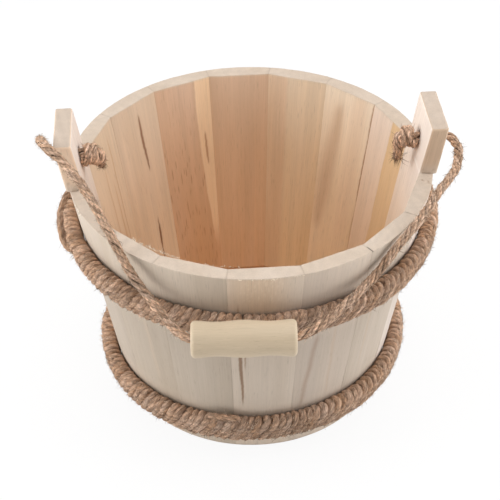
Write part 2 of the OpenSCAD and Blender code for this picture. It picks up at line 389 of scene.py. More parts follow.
def jute(name):
    """Coarse brown fibre: light and dark hairs along the strand, dull and slightly fuzzy."""
    graph = Graph(bpy.data.materials.new(name))
    hairs = graph.noise((110, 1100, 700), 4.0, 0.8, 0.4)
    wisps = graph.noise((70, 480, 300), 3.0, 0.7, 0.6)
    patch = graph.noise((75, 75, 75), 2.0)
    flecks = graph.noise((850, 850, 850), 2.0, 0.7)
    light = graph.product(
        graph.span(hairs, 0.64, 1.36),
        graph.span(wisps, 0.72, 1.26),
        graph.span(patch, 0.9, 1.1),
        graph.span(flecks, 0.72, 1.26, 0.33, 0.67),
    )
    height = graph.math("ADD", hairs, graph.product(wisps, 0.8))
    inputs = {
        "Base Color": graph.tint(light, graph.span(patch, 1.1, 0.84)),
        "Roughness": graph.span(hairs, 0.8, 0.98),
        "Normal": graph.add("Bump", {"Height": height, "Strength": 0.9, "Distance": 0.0009})["Normal"],
        "Specular IOR Level": 0.12,
        "Sheen Weight": 0.1,
        "Sheen Roughness": 0.6,
        "Sheen Tint": (0.75, 0.62, 0.48, 1.0),
    }
    return graph.finish(graph.add("BsdfPrincipled", inputs)["BSDF"])


STAVE_WOOD = wood("stave_wood", bump=0.3, roughness=0.72)
GRIP_WOOD = wood("grip_wood", bump=0.1, roughness=0.55)
TWINE_JUTE = jute("twine_jute")
ROPE_JUTE = jute("rope_jute")


# Camera, fitted to the photograph
CAMERA_RISE = math.radians(39.0267)
CAMERA_SIDE = math.radians(4.1176)
CAMERA_ROLL = math.radians(-0.4522)
CAMERA_DISTANCE = 0.97765
CAMERA_AIM = np.array([-0.00064, 0.0, 0.1022])


def make_camera():
    level_share = math.cos(CAMERA_RISE)
    back = np.array([
        -math.sin(CAMERA_SIDE) * level_share,
        -math.cos(CAMERA_SIDE) * level_share,
        math.sin(CAMERA_RISE),
    ])
    level = np.array([math.cos(CAMERA_SIDE), -math.sin(CAMERA_SIDE), 0.0])
    upright = np.cross(back, level)
    right = math.cos(CAMERA_ROLL) * level + math.sin(CAMERA_ROLL) * upright
    up = math.cos(CAMERA_ROLL) * upright - math.sin(CAMERA_ROLL) * level
    data = bpy.data.cameras.new("camera")
    data.lens = 97.19
    data.sensor_width = 36.0
    data.clip_end = 50
    axes = Matrix(np.column_stack([right, up, back]).tolist()).to_4x4()
    SCENE.camera = show("camera", data)
    SCENE.camera.matrix_world = Matrix.Translation(CAMERA_AIM + CAMERA_DISTANCE * back) @ axes


make_camera()


# Hairs: two rings of three points and a tip, with their places along the hair, thickness and faces
HAIR_SHARES = np.array([0.0, 0.5, 1.0])
HAIR_TAPER = np.array([1.0, 0.75])
HAIR_ANGLES = round_angles(3)
HAIR_WALLS = np.array([[0, 1, 4, 3], [1, 2, 5, 4], [2, 0, 3, 5]])
HAIR_ENDS = np.array([[3, 4, 6], [4, 5, 6], [5, 3, 6], [2, 1, 0]])
HAIR_POINTS = 7
HAIR_SCATTER = 0.45
HAIR_BEND = 0.55
HAIR_DROOP = 0.25
HAIR_RADII = (0.6, 1.2)
HAIR_SHADES = (0.7, 1.12)


# A kind of loose fibre, whose lift is how steeply it leaves its strand, from least to most
Hairs = namedtuple("Hairs", "number lengths radius lift tint")


def hair_lines(skin, kind, draw):
    """Three places along each hair, and the direction that it starts in."""
    points, outward, along = skin
    pick = draw.integers(0, len(points), kind.number)
    start, normal, way = points[pick], outward[pick], along[pick]
    rise = draw.uniform(*kind.lift, (kind.number, 1))
    forward = way * draw.choice([-1, 1], (kind.number, 1))
    heading = unit(forward + rise * normal + draw.normal(0, HAIR_SCATTER, start.shape))
    bend = draw.normal(0, HAIR_BEND, start.shape) - HAIR_DROOP * normal
    reach = draw.uniform(*kind.lengths, (kind.number, 1))
    share = HAIR_SHARES[:, None]
    path = share * heading[:, None] + 0.5 * share**2 * bend[:, None]
    return start[:, None] + reach[:, None] * path, heading


def add_hairs(pile, skin, kind, seed):
    """Tapered hairs that start on a skin and bend away from it."""
    draw = np.random.default_rng(seed)
    line, heading = hair_lines(skin, kind, draw)
    side = unit(np.cross(heading, draw.normal(size=heading.shape)))
    over = np.cross(heading, side)
    radius = (kind.radius * draw.uniform(*HAIR_RADII, (kind.number, 1)) * HAIR_TAPER)[..., None, None]
    spoke = np.cos(HAIR_ANGLES)[:, None] * side[:, None] + np.sin(HAIR_ANGLES)[:, None] * over[:, None]
    rings = line[:, :2, None] + radius * spoke[:, None]
    hairs = np.concatenate([rings.reshape(kind.number, -1, 3), line[:, 2:]], 1).reshape(-1, 3)
    first = HAIR_POINTS * np.arange(kind.number)[:, None, None]
    faces = [(first + HAIR_WALLS).reshape(-1, 4), (first + HAIR_ENDS).reshape(-1, 3)]
    shade = np.repeat(draw.uniform(*HAIR_SHADES, kind.number), HAIR_POINTS)[:, None]
    grain = np.column_stack([hairs[:, 2], hairs[:, 0], np.zeros(len(hairs))])
    pile.add(hairs, faces, kind.tint * shade, grain)


def add_fuzz(pile, skin, kinds, seed):
    for step, kind in enumerate(kinds):
        add_hairs(pile, skin, kind, seed + step)


# Jute yarn and rope
JUTE_MID = srgb(187, 152, 126)
JUTE_PALE = srgb(230, 204, 178)
JUTE_DARK = srgb(104, 76, 56)
ROPE_MID = srgb(204, 168, 141)
GRAIN_SLOPE = 0.6
GRAIN_DRIFT = 0.3
GRAIN_APART = 0.013
ROPE_LAY = -0.027
ROPE_HELIX = 0.00188
ROPE_CORE_R = 0.00116
YARN_R = 0.00118
YARN_TONES = (1.12, 0.84, 1.02, 0.74, 1.08, 0.9)
PAIR_TURN = math.radians(5)


# Make of a yarn: its plies, the length of one twist, the depth between plies and the sides of its tube
Yarn = namedtuple("Yarn", "plies lay depth sides")
ROPE_YARN = Yarn(2, 0.009, 0.14, 10)
ROPE_CORE = Yarn(2, 0.020, 0.10, 8)


def strand(pile, line, radius, yarn, colour, seed):
    """A yarn along a line. Gives its skin: surface points, outward directions and headings."""
    angles = round_angles(yarn.sides)
    s = length_along(line)
    twist = angles[None] - FULL_TURN * s[:, None] / yarn.lay
    lobe = np.abs(np.cos(yarn.plies * twist / 2))
    arcs = angles * np.mean(radius)
    spots = np.column_stack([np.repeat(s, yarn.sides) / 3, np.tile(arcs, len(s))])
    rough = waver(spots, 0.004, seed).reshape(lobe.shape)
    swell = waver(s[:, None], 0.03, seed + 1)[:, None]
    radii = np.broadcast_to(np.asarray(radius), s.shape)[:, None]
    radii = radii * (1 - yarn.depth + yarn.depth * lobe + 0.05 * rough + 0.04 * swell)
    points, faces, spoke = tube(line, radii, angles)
    # Painted shade in the grooves between the plies, with random tone along the yarn
    tone = (0.62 + 0.38 * lobe) * (1 + 0.10 * rough + 0.07 * swell)
    tints = tone.reshape(-1, 1) * colour
    lengthwise = s[:, None] + GRAIN_SLOPE * arcs
    crosswise = arcs - GRAIN_DRIFT * s[:, None]
    grain = np.stack([lengthwise, crosswise, np.full(tone.shape, GRAIN_APART * seed)], -1)
    grains = np.vstack([grain.reshape(-1, 3), grain[0, :1], grain[-1, :1]])
    pile.add(points, faces, np.vstack([tints, tints[:2]]), grains)
    ways = unit(np.gradient(line, axis=0))
    return points[:-2], spoke.reshape(-1, 3), np.repeat(ways, yarn.sides, axis=0)


def laid_rope(pile, line, seed, size=1.0, lay=ROPE_LAY, shade=1.0):
    """Uneven yarns, two to a strand, laid round a core tinted dark as painted shade. Gives the skin of the
    yarns.
    """
    _, across, over = frames(line)
    s = length_along(line)[:, None]
    full = size * (ROPE_HELIX + YARN_R)
    skins = []
    for k, tone in enumerate(YARN_TONES):
        slack = 0.2 * waver(s, 0.05, seed + 3 * k)[:, None]
        pair = PAIR_TURN * (1 if k % 2 else -1)
        angle = FULL_TURN * (s / lay + k / len(YARN_TONES)) + slack - pair
        reach = size * ROPE_HELIX * (1 + 0.09 * waver(s, 0.016, seed + 3 * k + 1)[:, None])
        centre = line + reach * (np.cos(angle) * across + np.sin(angle) * over)
        thick = size * YARN_R * (1 + 0.08 * waver(s, 0.012, seed + 3 * k + 2))
        skin = strand(pile, centre, thick, ROPE_YARN, shade * tone * ROPE_MID, seed + 10 * k)
        # Painted shade where the yarn's skin lies close to the middle of the rope, in the grooves
        depth = length(skin[0].reshape(len(line), -1, 3) - line[:, None]).ravel()
        pile.shade(0.55 + 0.5 * smooth_step(depth, 0.6 * full, 0.93 * full))
        skins.append(skin)
    # The core's dark tint is painted shade in the gaps between the yarns
    strand(pile, line, size * ROPE_CORE_R, ROPE_CORE, 0.3 * shade * ROPE_MID, seed + 70)
    return [np.vstack(part) for part in zip(*skins)]


# Rope bail
BARE_AT_EAR = 0.008
BARE_AT_GRIP = 0.005
ROPE_HAIRS = [
    Hairs(1500, (0.002, 0.006), 0.00007, (0.1, 0.7), JUTE_PALE),
    Hairs(3600, (0.0015, 0.004), 0.00015, (0.02, 0.3), JUTE_PALE),
    Hairs(2600, (0.0015, 0.004), 0.00015, (0.02, 0.3), 0.4 * ROPE_MID),
]


def rope_route():
    ear_stops = np.linspace(KNOT_IN, RUN_OUT, 4)
    start = [(x, 0, HOLE_Z) for x in ear_stops]
    middle = [tuple(GRIP_PLACE + share * GRIP_RUN * GRIP_WAY) for share in (0.5, 0, -0.5)]
    end = [(-x, 0, HOLE_Z) for x in ear_stops[::-1]]
    return start + RIGHT_POINTS + middle + LEFT_POINTS[::-1] + end


def make_rope():
    """The rope, its hairs, which stay clear of the ears and the grip, and its middle line."""
    line = smooth_path(rope_route(), (1, 0, 0), (1, 0, 0), step=0.001)
    pile, fuzz = Pile(), Pile()
    skin = laid_rope(pile, line, seed=40)
    spot = skin[0]
    at_ear = np.hypot(spot[:, 1], spot[:, 2] - HOLE_Z) < BARE_AT_EAR
    in_grip = np.abs((spot - GRIP_PLACE) @ GRIP_WAY) < GRIP_LEN / 2 + BARE_AT_GRIP
    add_fuzz(fuzz, [part[~at_ear & ~in_grip] for part in skin], ROPE_HAIRS, seed=71)
    return pile.make("bail_rope", ROPE_JUTE), fuzz.make("bail_rope_hairs", ROPE_JUTE), line


rope, rope_hairs, rope_line = make_rope()


# Stopper knots
KNOT_WRAPS = 2.3
KNOT_START = math.radians(170)
KNOT_R = 0.0049
KNOT_SETBACK = 0.0022
KNOT_LENGTH = 0.0078
KNOT_LAY = 0.026
STUB_POINTS = 6
STUB_COPIES = 12
STUB_SPREAD = 0.0011
KNOT_PALE_HAIRS = Hairs(900, (0.0015, 0.0045), 0.00014, (0.05, 0.5), 1.2 * ROPE_MID)
KNOT_DARK_HAIRS = Hairs(450, (0.0015, 0.004), 0.00016, (0.02, 0.35), 0.3 * ROPE_MID)


def knot_line(side, tail, sag):
    """Two wraps round the rope, a little below its middle, and a loose end that crosses it and hangs."""
    share = np.linspace(0, 1, 44)
    angle = KNOT_START + FULL_TURN * KNOT_WRAPS * share
    radius = KNOT_R * (1 - 0.12 * share) * (1 + 0.08 * np.sin(9 * share))
    x = KNOT_FACE - KNOT_SETBACK - KNOT_LENGTH * share
    wrap = np.column_stack([x, radius * np.cos(angle), HOLE_Z + radius * np.sin(angle)])
    drop = [
        (KNOT_IN - 0.0002, -0.0014, HOLE_Z + 0.0024),
        (KNOT_IN - 0.0014, -0.0022, HOLE_Z - 0.0026),
        (KNOT_IN - 0.0004, -0.0018, HOLE_Z - 0.4 * tail - 0.002),
        (KNOT_IN - 0.0010, -0.0010, HOLE_Z - 0.75 * tail),
    ]
    line = smooth_path(np.vstack([wrap, drop]), (0, 1, 0), (0, 0, -1), step=0.0009)
    return (line - [0, 0, sag]) * [side, 1, 1]


def knot_stub(line, side, seed):
    """Skin of the frayed end: points scattered round the end of the line, pointing down."""
    spots = np.repeat(line[-STUB_POINTS:], STUB_COPIES, axis=0)
    spots = spots + np.random.default_rng(seed).normal(0, STUB_SPREAD, spots.shape)
    down = np.tile([0.0, 0.0, -1.0], (len(spots), 1))
    inward = np.tile([side * -0.2, 0.0, -1.0], (len(spots), 1))
    return spots, down, inward


def make_knot(name, side, tail, sag, seed):
    pile = Pile()
    line = knot_line(side, tail, sag)
    # Painted light: the knots' rope is tinted brighter than the bail rope
    skin = laid_rope(pile, line, seed, size=1.06, lay=KNOT_LAY * -side, shade=1.3)
    frayed = Hairs(130, (0.003, 0.30 * tail + 0.003), 0.00018, (0.9, 1.5), 0.5 * JUTE_MID)
    add_hairs(pile, skin, KNOT_PALE_HAIRS, seed + 1)
    add_hairs(pile, skin, KNOT_DARK_HAIRS, seed + 4)
    add_hairs(pile, knot_stub(line, side, seed + 2), frayed, seed + 3)
    return pile.make(name, ROPE_JUTE)


right_knot = make_knot("right_stopper_knot", side=1, tail=0.021, sag=0.0, seed=90)
left_knot = make_knot("left_stopper_knot", side=-1, tail=0.010, sag=0.0018, seed=130)

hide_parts("rope_right", "rope_left", "rope_grip_run")
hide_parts("right_knot")
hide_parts("left_knot")
for piece in (rope, rope_hairs, right_knot, left_knot):
    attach(piece, "bail")


# Colours of the staves
SIDE_WOOD = srgb(214, 186, 160)
END_GRAIN = srgb(201, 184, 167)
# End grain of the ear tops, with painted shade that makes them darker than the rim
EAR_END_PAINTED_SHADE = srgb(197, 180, 164)
# Side faces of the ears: painted light makes the left one paler, and painted shade makes the right one
# darker
EAR_SIDES_PAINTED_LIGHT = {"ear_stave_right": srgb(202, 176, 151), "ear_stave_left": srgb(226, 197, 170)}
SPLINTER = srgb(250, 236, 216)
PIT_BROWN = srgb(138, 106, 82)
PORE_BROWN = srgb(150, 96, 66)
# Outside tints of the staves in view: each stave's own tone, with painted shade worked in
OUTSIDE_TONES_AND_SHADE = {
    "stave_08": srgb(177, 163, 148), "stave_09": srgb(177, 163, 147), "stave_10": srgb(182, 168, 152),
    "stave_11": srgb(201, 186, 170), "stave_12": srgb(190, 175, 160), "stave_13": srgb(187, 173, 158),
    "stave_14": srgb(202, 189, 178),
}
PALE_OUTSIDE = srgb(206, 192, 176)
INSIDES = {
    "ear_stave_right": srgb(233, 210, 187), "stave_01": srgb(229, 202, 176),
    "stave_02": srgb(231, 204, 172), "stave_03": srgb(224, 194, 159), "stave_04": srgb(216, 178, 144),
    "stave_05": srgb(215, 175, 141), "stave_06": srgb(226, 197, 168), "stave_07": srgb(225, 196, 166),
    "ear_stave_left": srgb(222, 198, 176),
}
FRONT_INSIDES = [srgb(223, 190, 157), srgb(216, 179, 145), srgb(228, 196, 164), srgb(219, 184, 150)]

# Painted light and shade: shares of the face colours at some heights, for red, green and blue inside and
# for all three outside
INNER_SHADING_HEIGHTS = (0.03, 0.12, RIM_Z)
# Inside: painted light makes the rim paler and bluer, and painted shade makes the depth darker and warmer
INNER_PAINTED_SHADING = [(0.98, 1.01, 1.03), (0.98, 1.05, 1.15), (0.93, 1.09, 1.32)]
LEFT_INNER_PAINTED_SHADING = [(1.07, 1.01, 0.90), (1.13, 1.05, 0.95), (1.12, 1.09, 1.00)]
LEFT_STAVES = ("stave_06", "stave_07")
# Outside: painted light at the foot, just above the lower hoop and just under the rim, and painted shade
# around the middle
OUTER_SHADING_HEIGHTS = (0.012, 0.020, 0.040, 0.052, 0.110, 0.160)
OUTER_PAINTED_SHADING = (1.36, 1.00, 1.14, 0.98, 0.91, 1.16)

# Staves with a look of their own
CRACKED_STAVE = "stave_13"
PITTED_STAVE = "stave_14"
TORN_STAVE = "stave_11"
POROUS_STAVE = "stave_05"

# Shapes of the staves, where a board is flat and of even width before it is bent into the wall
STAVE_HALF_W = 0.0225
ARRIS = 0.0004
EAR_ARRIS = 0.0017
EAR_ARRIS_LINES = EAR_ARRIS * np.array([0.15, 0.5, 0.75])
BREAK = 0.00001
FACE_SKIN = 0.0004
MARK_SKIN = 0.0005
RIM_JOINT = 0.12
EAR_FOOT_TOP = RIM_Z + 0.010
EAR_PITS_FULL = RIM_Z + 0.003


# Streaks in the inner or outer face of a stave. Middle is the place across the stave, to the right as seen
# from inside the bucket, and half is half the width. A mark that runs past an end is cut off there.
Mark = namedtuple("Mark", "stave face middle low high half lean soft colour strength")
MARKS = [
    Mark("stave_01", "in", 0.0122, -0.30, 0.50, 0.0102, 0.0, 0.0006, srgb(222, 188, 140), 0.8),
    Mark("stave_02", "in", -0.0170, 0.055, 0.175, 0.0042, 0.09, 0.007, srgb(182, 142, 108), 0.45),
    Mark("stave_02", "in", 0.0100, 0.020, 0.220, 0.0055, 0.0, 0.006, srgb(230, 198, 166), 0.35),
    Mark("stave_02", "in", 0.0223, 0.090, 0.230, 0.0006, 0.0, 0.0007, srgb(150, 108, 78), 0.75),
    Mark("stave_02", "in", 0.0223, 0.010, 0.170, 0.0004, 0.0, 0.0006, srgb(168, 124, 90), 0.5),
    Mark("stave_03", "in", -0.0150, -0.30, 0.50, 0.0070, 0.0, 0.003, srgb(204, 166, 134), 0.45),
    Mark("stave_05", "in", 0.0225, 0.030, 0.330, 0.0125, 0.0, 0.0008, srgb(240, 208, 172), 1.0),
    Mark("stave_05", "in", 0.0172, 0.108, 0.138, 0.0007, -0.05, 0.0008, srgb(160, 106, 72), 0.7),
    Mark("stave_06", "in", 0.0052, 0.120, 0.172, 0.0010, -0.05, 0.0007, srgb(138, 96, 68), 0.85),
    Mark("stave_06", "in", 0.0030, 0.040, 0.084, 0.0006, 0.02, 0.0008, srgb(140, 94, 62), 0.8),
    Mark("stave_06", "in", 0.0036, 0.056, 0.076, 0.0010, 0.03, 0.0008, srgb(128, 88, 58), 0.8),
    Mark("stave_07", "in", 0.0090, 0.060, 0.176, 0.0005, 0.02, 0.0009, srgb(188, 142, 98), 0.5),
    Mark("stave_07", "in", 0.0030, 0.030, 0.140, 0.0007, 0.02, 0.0012, srgb(196, 150, 104), 0.45),
    Mark("stave_07", "in", -0.0050, 0.040, 0.160, 0.0006, 0.01, 0.0010, srgb(192, 148, 102), 0.4),
    Mark("stave_11", "out", 0.0152, 0.044, 0.160, 0.0011, 0.010, 0.0006, srgb(128, 98, 74), 0.85),
    Mark("stave_11", "out", 0.0125, 0.086, 0.150, 0.0005, 0.0, 0.0006, srgb(140, 112, 88), 0.7),
    Mark("stave_11", "out", 0.0040, 0.120, 0.230, 0.0110, 0.0, 0.016, srgb(216, 186, 154), 0.65),
    Mark("stave_12", "out", 0.0161, 0.036, 0.120, 0.0006, -0.095, 0.0032, srgb(140, 106, 84), 0.5),
    Mark("stave_12", "out", -0.0060, 0.040, 0.135, 0.0007, 0.02, 0.0016, srgb(186, 162, 142), 0.45),
    Mark("stave_13", "out", 0.0080, 0.050, 0.135, 0.0006, 0.02, 0.0014, srgb(186, 164, 144), 0.45),
    Mark("stave_09", "out", -0.0060, 0.050, 0.135, 0.0008, 0.02, 0.0020, srgb(192, 172, 152), 0.4),
]


# Tints of the staves
def streak(x, z, middle, mark):
    """How much of a lens-shaped mark covers each point."""
    along = np.clip((z - mark.low) / (mark.high - mark.low), 0, 1)
    reach = mark.half * np.clip(np.sin(math.pi * along), 0, 1) ** 0.6
    away = np.abs(x - middle - mark.lean * (z - mark.low))
    tips = smooth_step(np.minimum(along, 1 - along), 0, 0.12)
    return tips * (1 - smooth_step(away, reach - mark.soft / 2, reach + mark.soft))


def add_marks(tint, name, local, seed):
    x, y, z = local.T
    for mark in MARKS:
        if mark.stave == name:
            on_face = y < MARK_SKIN if mark.face == "in" else y > STAVE_T - MARK_SKIN
            ragged = mark.middle + 0.00025 * waver(z[:, None], 0.025, seed + 7)
            ragged += 0.00012 * waver(z[:, None], 0.004, seed + 8)
            tint = mix(tint, mark.colour, mark.strength * streak(x, z, ragged, mark) * on_face)
    return tint


def add_pores(tint, name, local, seed):
    """Short dark dashes along the grain of the inner face, fewer towards the rim."""
    x, y, z = local.T
    amount = 0.6 if name == POROUS_STAVE else 0.12
    dash = waver(np.column_stack([x / 0.0011, z / 0.011]), 1.0, seed + 11, 24)
    deep = 0.3 + 0.7 * smooth_fall(z, 0.10, 0.15)
    return mix(tint, PORE_BROWN, amount * deep * smooth_step(dash, 0.9, 1.7) * (y < MARK_SKIN))


def add_torn_grain(tint, local, seed):
    """Pale torn fibres on the outer face just under the rim."""
    x, y, z = local.T
    torn = smooth_step(waver(np.column_stack([x / 0.0016, z / 0.0024]), 1.0, seed + 14, 24), 0.4, 1.2)
    area = smooth_step(z, 0.145, 0.165) * (y > STAVE_T - MARK_SKIN)
    area = area * smooth_fall(np.abs(x - 0.002), 0.008, 0.019)
    return mix(tint, SPLINTER, 0.16 * torn * area)


def add_ear_foot(tint, local, seed):
    """End grain and brown pits on an ear's side edges, just above the sawn rim."""
    _, y, z = local.T
    edge = (y > FACE_SKIN) & (y < STAVE_T - FACE_SKIN)
    tint = mix(tint, END_GRAIN, 0.8 * smooth_fall(z, RIM_Z, EAR_FOOT_TOP) * edge)
    pits = smooth_step(waver(local, 0.0025, seed + 12, 20), 0.5, 1.3)
    pits = pits * smooth_fall(z, EAR_PITS_FULL, EAR_FOOT_TOP)
    return mix(tint, PIT_BROWN, 0.7 * pits * edge)


def end_tint(name, local, top, seed):
    """Colour of the sawn ends: end grain, darker at the joints, with painted shade on the ear tops, cracked
    or torn on two staves.
    """
    x, y, _ = local.T
    joint = RIM_JOINT * smooth_step(np.abs(x), STAVE_HALF_W - 0.0007, STAVE_HALF_W)
    if name == CRACKED_STAVE:
        crack = smooth_step(x, STAVE_HALF_W - 0.0011, STAVE_HALF_W - 0.0003) * smooth_step(y, 0.003, 0.006)
        joint = np.maximum(joint, 0.75 * crack)
    colour = EAR_END_PAINTED_SHADE if top > RIM_Z else END_GRAIN * (1 - joint)[:, None]
    end = colour * (1 + 0.03 * waver(local, 0.004, seed + 13))[:, None]
    if name == PITTED_STAVE:
        torn = smooth_step(waver(local, 0.0022, seed + 15, 20), 0.5, 1.2) * smooth_fall(x, -0.016, -0.008)
        end = mix(end, PIT_BROWN, 0.6 * torn)
    return end


def face_tints(name, z, seed):
    inside = INSIDES.get(name, FRONT_INSIDES[seed % len(FRONT_INSIDES)])
    outside = OUTSIDE_TONES_AND_SHADE.get(name, PALE_OUTSIDE)
    painted_shading = LEFT_INNER_PAINTED_SHADING if name in LEFT_STAVES else INNER_PAINTED_SHADING
    # Painted light and shade that change with height on both faces
    inner_shading = np.column_stack([np.interp(z, INNER_SHADING_HEIGHTS, shares) for shares in painted_shading])
    outer_shading = np.interp(z, OUTER_SHADING_HEIGHTS, OUTER_PAINTED_SHADING)[:, None]
    return inside * inner_shading, outside * outer_shading


def stave_tint(name, local, top, seed):
    """Colour of each point: greyer outside with painted shade, warmer inside, painted light and shade by
    height on both, tan sides and pale sawn ends.
    """
    _, y, z = local.T
    inside, outside = face_tints(name, z, seed)
    side = EAR_SIDES_PAINTED_LIGHT.get(name, SIDE_WOOD)
    on_inside = (y < FACE_SKIN)[:, None]
    on_outside = (y > STAVE_T - FACE_SKIN)[:, None]
    tint = np.where(on_inside, inside, np.where(on_outside, outside, side))
    bands = 0.018 * waver(local * [1, 1, 0.05], 0.008, seed)
    bands += 0.012 * waver(local * [1, 1, 0.03], 0.003, seed + 1)
    bands *= np.where(y > STAVE_T / 2, 0.6, 1.2)
    tint = add_pores(tint * (1 + bands)[:, None], name, local, seed)
    tint = add_marks(tint, name, local, seed)
    if name == TORN_STAVE:
        tint = add_torn_grain(tint, local, seed)
    if top > RIM_Z:
        tint = add_ear_foot(tint, local, seed)
    sawn = smooth_step(z, top - 0.0006, top - 0.0001) + smooth_fall(z, 0, 0.0006)
    return mix(tint, end_tint(name, local, top, seed), np.clip(sawn, 0, 1))


# Shapes of the staves
def stave_turn(name):
    """Direction of a stave's middle, seen from above."""
    if name.startswith("ear"):
        return 0.0 if name.endswith("right") else math.pi
    number = int(name[-2:])
    return 2 * HALF_STAVE * (number if number < STAVE_COUNT / 2 else number + 1)


def stave_block(ear, top):
    """Lattice points of a flat board, the same points with softened edges, and quads."""
    edge = EAR_ARRIS if ear else ARRIS
    breaks = [BOARD_LOW - GROOVE_PLAY, BOARD_HIGH + GROOVE_PLAY]
    x_lines = z_lines = np.empty(0)
    if ear:
        breaks.append(RIM_Z)
        x_lines = np.concatenate([EAR_ARRIS_LINES - STAVE_HALF_W, STAVE_HALF_W - EAR_ARRIS_LINES])
        z_lines = top - EAR_ARRIS_LINES
    z_lines = np.concatenate([z_lines, np.array(breaks) - BREAK, np.array(breaks) + BREAK])
    xs = edged(-STAVE_HALF_W, STAVE_HALF_W, edge, step=0.0006, extra=x_lines)
    ys = edged(0, STAVE_T, edge, step=0.0012, extra=[edge * 0.5, STAVE_T - edge * 0.5])
    zs = edged(0, top, ARRIS, step=0.0018, extra=z_lines)
    block, quads = box_shell(xs, ys, zs)
    local = block.copy()
    local[:, 1:] = soften(block[:, 1:], (0, 0), (STAVE_T, top), ARRIS)
    if ear:
        above = block[:, 2] > RIM_Z
        corners = (-STAVE_HALF_W, 0, 0), (STAVE_HALF_W, STAVE_T, top)
        local[above] = soften(block[above], *corners, EAR_ARRIS)
    return block, local, quads


def stave_shape(local, turn, stand, flat_from):
    """Bends a board (x right seen from inside, y outward, z up) into the wall, but not above flat_from."""
    x, y, z = local.T
    angle = -x / STAVE_HALF_W * (HALF_STAVE - SEAM / RIM_R)
    inner = inner_x(z) / np.cos(angle)
    radius = inner + y / STAVE_T * (outer_r(z) - inner) + stand
    in_groove = (z > BOARD_LOW - GROOVE_PLAY) & (z < BOARD_HIGH + GROOVE_PLAY)
    radius = np.where(in_groove, np.maximum(radius, GROOVE_R), radius)
    flat = inner_x(z) + y * (1 + EAR_PROUD / STAVE_T)
    half_ear = np.minimum(flat * math.tan(HALF_STAVE), EAR_W / 2)
    forward = np.where(z > flat_from, flat, radius * np.cos(angle))
    across = np.where(z > flat_from, -x / STAVE_HALF_W * half_ear, radius * np.sin(angle))
    place_x = forward * math.cos(turn) - across * math.sin(turn)
    place_y = forward * math.sin(turn) + across * math.cos(turn)
    return np.column_stack([place_x, place_y, z])


def stave_pile(name, seed):
    """A stave in its place, with planing waves on its faces and a slightly uneven top."""
    draw = np.random.default_rng(seed)
    ear = name.startswith("ear")
    top = EAR_TOP if ear else RIM_Z
    block, local, quads = stave_block(ear, top)
    grain = local + draw.uniform(0, 3, 3)
    face = np.where(block[:, 1] <= 0, -1, np.where(block[:, 1] >= STAVE_T, 1, 0))
    wave = 0.00006 * waver(local * [1, 1, 0.15], 0.011, seed + 2)
    wave += 0.00003 * waver(local * [1, 1, 0.1], 0.0035, seed + 3)
    sawn = 0.00006 * waver(local, 0.006, seed + 4) + 0.00003 * waver(local, 0.0022, seed + 5)
    shaped = local.copy()
    shaped[:, 1] += face * wave
    shaped[:, 2] += smooth_step(local[:, 2], top - 0.004, top) * (sawn + draw.uniform(-0.00006, 0.00006))
    stand = draw.uniform(-0.00007, 0.00007)
    points = stave_shape(shaped, stave_turn(name), stand, RIM_Z if ear else EAR_TOP)
    return Pile(points, [quads], stave_tint(name, local, top, seed), grain)


# Rope holes of the ears
HOLE_SIDES = 40
HOLE_FLARE = 1.12
HOLE_FLARE_DEPTH = 0.0012


def hole_cutter(side):
    outer = STAVE_T + EAR_PROUD
    stations = np.array([-0.004, 0.0, HOLE_FLARE_DEPTH, outer - HOLE_FLARE_DEPTH, outer, outer + 0.006])
    scales = np.array([HOLE_FLARE, HOLE_FLARE, 1.0, 1.0, HOLE_FLARE, HOLE_FLARE])
    line = np.column_stack([inner_x(HOLE_Z) + stations, 0 * stations, 0 * stations + HOLE_Z])
    radii = np.repeat((HOLE_R * scales)[:, None], HOLE_SIDES, axis=1)
    points, faces, _ = tube(line * [side, 1, 1], radii, round_angles(HOLE_SIDES))
    # The cutter's tint, darker than the side wood, is painted shade for the walls of the hole
    return Pile(points, faces, 0.8 * SIDE_WOOD, points).make("cutter", STAVE_WOOD)


def drill(piece, side):
    """Cuts the rope hole, slightly flared at both faces, through an ear."""
    cutter = hole_cutter(side)
    cut = piece.modifiers.new("hole", "BOOLEAN")
    cut.operation = "DIFFERENCE"
    cut.solver = "EXACT"
    cut.object = cutter
    bpy.context.view_layer.update()
    drilled = piece.evaluated_get(bpy.context.evaluated_depsgraph_get())
    holed = bpy.data.meshes.new_from_object(drilled)
    piece.modifiers.clear()
    piece.data = holed
    bpy.data.objects.remove(cutter)


def make_staves():
    names = [f"stave_{number:02d}" for number in range(1, STAVE_COUNT - 1)]
    for seed, name in enumerate(names + ["ear_stave_right", "ear_stave_left"], start=300):
        piece = stave_pile(name, seed).make(name + "_wood", STAVE_WOOD)
        if name.startswith("ear"):
            drill(piece, 1 if name.endswith("right") else -1)
        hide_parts(name)
        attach(piece, "bucket")


make_staves()


# Splinters along the sawn rim
RIM_INSIDE = RIM_R - STAVE_T - 0.0002
RIM_OUTSIDE = RIM_R + 0.0001
SPLINTER_R = 0.00022
SPLINTER_DEPTH = 0.0003


# A stretch of splinters from one direction to another, in degrees, with the longest and the upward share
Splinters = namedtuple("Splinters", "first last radius number longest upward")
SPLINTERS = [
    Splinters(222, 243, RIM_INSIDE, 60, 0.0036, 0.5),
    Splinters(243, 262, RIM_INSIDE, 24, 0.0018, 0.6),
    Splinters(262, 282, RIM_OUTSIDE, 22, 0.0020, -0.2),
    Splinters(196, 204, RIM_OUTSIDE, 14, 0.0026, 0.4),
]


